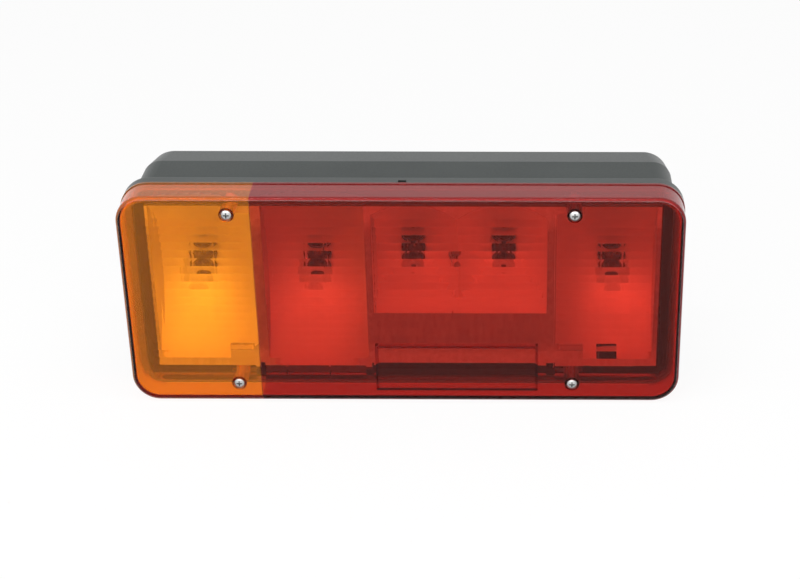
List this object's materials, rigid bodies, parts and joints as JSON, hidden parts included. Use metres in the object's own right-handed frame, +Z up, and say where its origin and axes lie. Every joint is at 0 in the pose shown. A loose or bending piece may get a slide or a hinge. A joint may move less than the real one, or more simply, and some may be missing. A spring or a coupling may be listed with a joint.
{
  "type": "tail light cluster",
  "caption": "Rectangular vehicle rear lamp: amber and red fluted lens screwed to a black housing, with bulbs in a metallised reflector, studs and a connector at the back.",
  "frame": {"origin": "midway between the two mounting studs, on the plane of the pads that meet the vehicle", "axes": "+X to the right as the lens is looked at, +Y out of the back towards the vehicle, +Z up"},
  "size_m": [0.41, 0.134, 0.168],
  "materials": {
    "housing_plastic": "moulded black polypropylene, satin",
    "amber_plastic": "clear amber acrylic, polished outside and fluted inside",
    "red_plastic": "clear red acrylic, polished outside and fluted inside",
    "metallised_plastic": "vacuum-metallised silver on moulded plastic",
    "screw_steel": "bright zinc-plated steel",
    "bolt_steel": "zinc-plated steel",
    "rubber": "black moulded rubber",
    "bulb_glass": "clear soda glass",
    "cap_metal": "nickel-plated brass, dulled",
    "filament_metal": "tungsten and glass stem",
    "socket_steel": "plated steel",
    "insulator_board": "brown laminated board",
    "strip_brass": "punched brass strip",
    "connector_plastic": "black nylon",
    "pin_metal": "tinned brass"
  },
  "bodies": {
    "root": {"housing": "housing_plastic", "lens_gasket": "rubber", "amber_lens": "amber_plastic", "red_lens": "red_plastic", "lens_screws": "screw_steel", "screw_seals": "rubber", "reflector": "metallised_plastic", "reflector_screw": "screw_steel", "earth_strip": "strip_brass", "indicator_feed_strip": "strip_brass", "stop_feed_strip": "strip_brass", "fog_feed_strip": "strip_brass", "tail_feed_strip": "strip_brass", "connector_socket": "connector_plastic", "connector_seal": "rubber", "connector_pins": "pin_metal", "mounting_bolts": "bolt_steel", "breather_cap": "rubber", "indicator_bulb_glass": "bulb_glass", "indicator_bulb_cap": "cap_metal", "indicator_filament": "filament_metal", "indicator_socket": "socket_steel", "indicator_insulator": "insulator_board", "indicator_contact": "strip_brass", "stop_bulb_glass": "bulb_glass", "stop_bulb_cap": "cap_metal", "stop_filament": "filament_metal", "stop_socket": "socket_steel", "stop_insulator": "insulator_board", "stop_contact": "strip_brass", "tail_left_bulb_glass": "bulb_glass", "tail_left_bulb_cap": "cap_metal", "tail_left_filament": "filament_metal", "tail_left_socket": "socket_steel", "tail_left_insulator": "insulator_board", "tail_left_contact": "strip_brass", "tail_right_bulb_glass": "bulb_glass", "tail_right_bulb_cap": "cap_metal", "tail_right_filament": "filament_metal", "tail_right_socket": "socket_steel", "tail_right_insulator": "insulator_board", "tail_right_contact": "strip_brass", "fog_bulb_glass": "bulb_glass", "fog_bulb_cap": "cap_metal", "fog_filament": "filament_metal", "fog_socket": "socket_steel", "fog_insulator": "insulator_board", "fog_contact": "strip_brass"}
  },
  "joints": []
}
